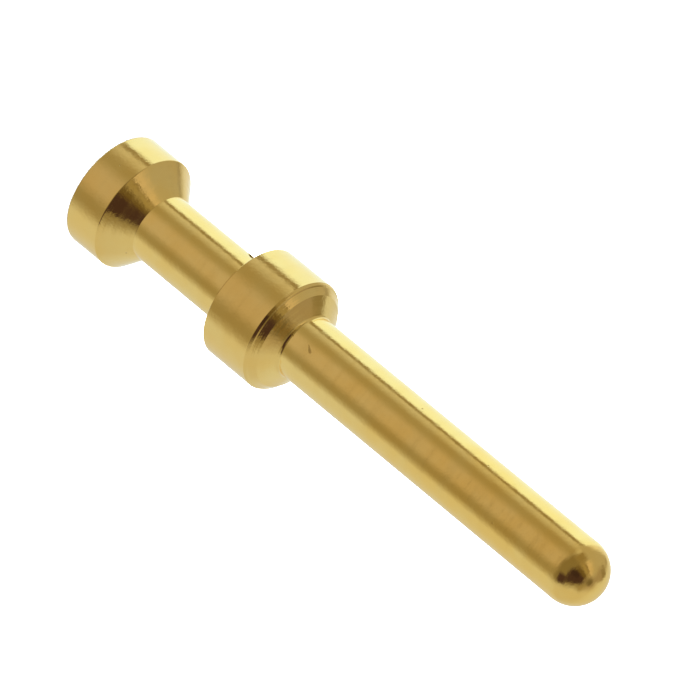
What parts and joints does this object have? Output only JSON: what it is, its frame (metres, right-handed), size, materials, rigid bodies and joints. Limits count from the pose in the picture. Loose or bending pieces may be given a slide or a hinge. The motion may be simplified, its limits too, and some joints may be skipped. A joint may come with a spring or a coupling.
{
  "type": "heavy-duty crimp contact",
  "caption": "Turned, gold-plated male crimp contact: wire funnel in a rear flange, crimp barrel with an inspection hole, locating collar and round-nosed contact pin.",
  "frame": {"origin": "centre of the rear face of the flange, where the wire goes in and the contact stands", "axes": "+Z along the axis, from the flange to the pin's tip; -X through the inspection hole in the crimp barrel"},
  "size_m": [0.0046, 0.0046, 0.0251],
  "materials": {
    "gold_plating": "turned copper alloy with a bright gold plating and fine tool marks"
  },
  "bodies": {
    "root": {"crimp_contact": "gold_plating"}
  },
  "joints": []
}
